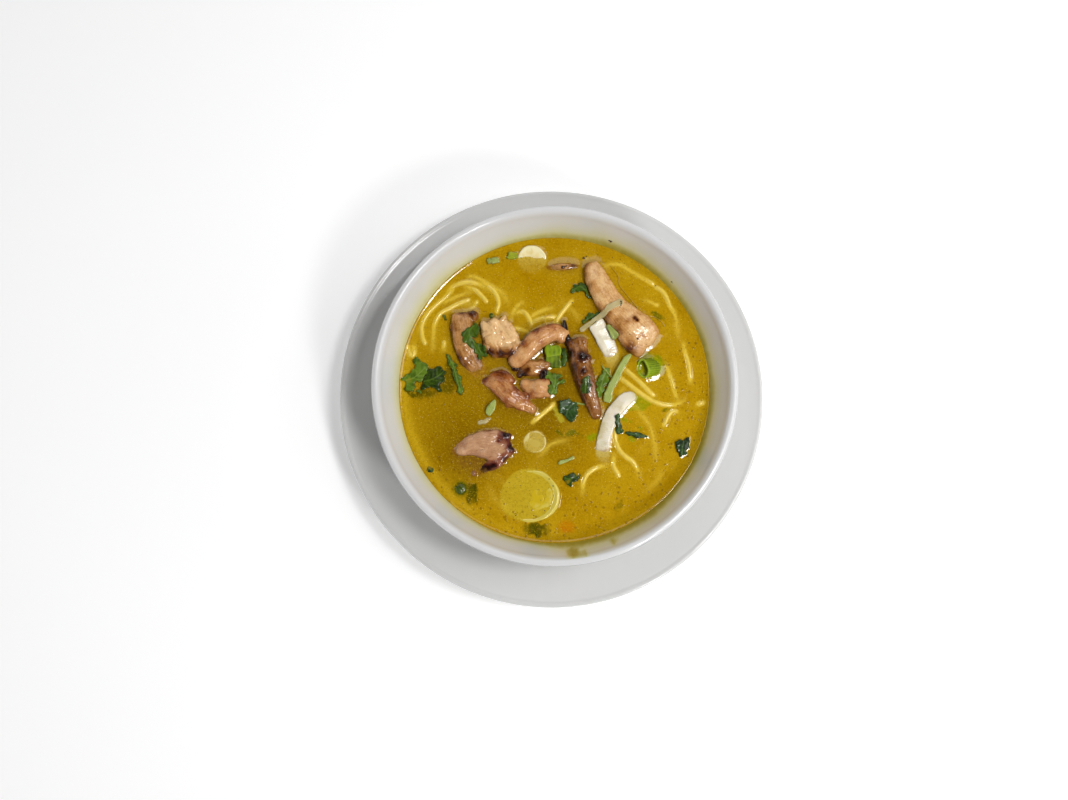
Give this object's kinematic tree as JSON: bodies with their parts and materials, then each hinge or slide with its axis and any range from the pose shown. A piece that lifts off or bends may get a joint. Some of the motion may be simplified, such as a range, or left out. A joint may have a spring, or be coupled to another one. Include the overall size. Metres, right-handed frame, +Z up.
{
  "type": "bowl of chicken thukpa",
  "caption": "Round white bowl of yellow chicken noodle soup with browned chicken strips, thin noodles, cabbage, leek and coriander, standing on its white underplate.",
  "frame": {"origin": "middle of the underplate's foot ring, on the table", "axes": "+Z up; seen from above with +Y pointing away from the diner, +X is the right-hand side"},
  "size_m": [0.206, 0.206, 0.059],
  "materials": {
    "underplate_porcelain": "white glaze, glossy, with a light drip mark and soft wear",
    "bowl_porcelain": "white glaze, glossy, stained yellow just above the broth",
    "broth": "cloudy yellow liquid, glossy, with dark spice specks and oil drops",
    "noodles": "boiled wheat noodle, smooth and wet",
    "chicken": "fried chicken meat, fibrous, moist, browned in patches",
    "browned_chicken": "well browned chicken meat, glossy dark patches",
    "leek": "translucent cooked leek and onion, ringed",
    "cabbage": "pale cabbage rib, finely ribbed, wet",
    "spring_onion": "green spring onion leaf, waxy",
    "green_strips": "pale green stalk cuts, finely veined",
    "coriander": "green herb leaf, veined, wet",
    "pea": "green pea, wrinkled skin, wet"
  },
  "bodies": {
    "root": {"underplate": "underplate_porcelain", "bowl": "bowl_porcelain", "broth": "broth", "noodles": "noodles", "chicken_left": "chicken", "chicken_pale_chunk": "chicken", "chicken_bent_finger": "chicken", "chicken_lump": "chicken", "chicken_middle": "chicken", "chicken_knob": "chicken", "chicken_long_strip": "chicken", "chicken_dark_strip": "browned_chicken", "chicken_hook": "browned_chicken", "chicken_sliver": "browned_chicken", "onion_slice_top": "leek", "leek_slice": "leek", "leek_slice_small": "leek", "onion_film": "leek", "pea": "pea", "spring_onion_tube": "spring_onion", "spring_onion_quad": "spring_onion", "coriander_feather": "coriander", "coriander_upright_blade": "coriander", "cabbage_upper": "cabbage", "cabbage_lower": "cabbage", "green_strip": "green_strips", "green_beside_cabbage": "green_strips", "green_sliver_left": "green_strips", "green_sliver_lower": "green_strips", "green_chip_top_left": "green_strips", "green_chip_top": "green_strips", "coriander_left_light": "coriander", "coriander_left_dark": "coriander", "coriander_folded": "coriander", "coriander_centre": "coriander", "coriander_curled": "coriander", "coriander_on_dark_strip": "coriander", "coriander_beside_strip": "coriander", "coriander_under_film": "coriander", "coriander_curl_top": "coriander", "coriander_right": "coriander", "coriander_lower_blade": "coriander", "coriander_lower": "coriander"}
  },
  "joints": []
}
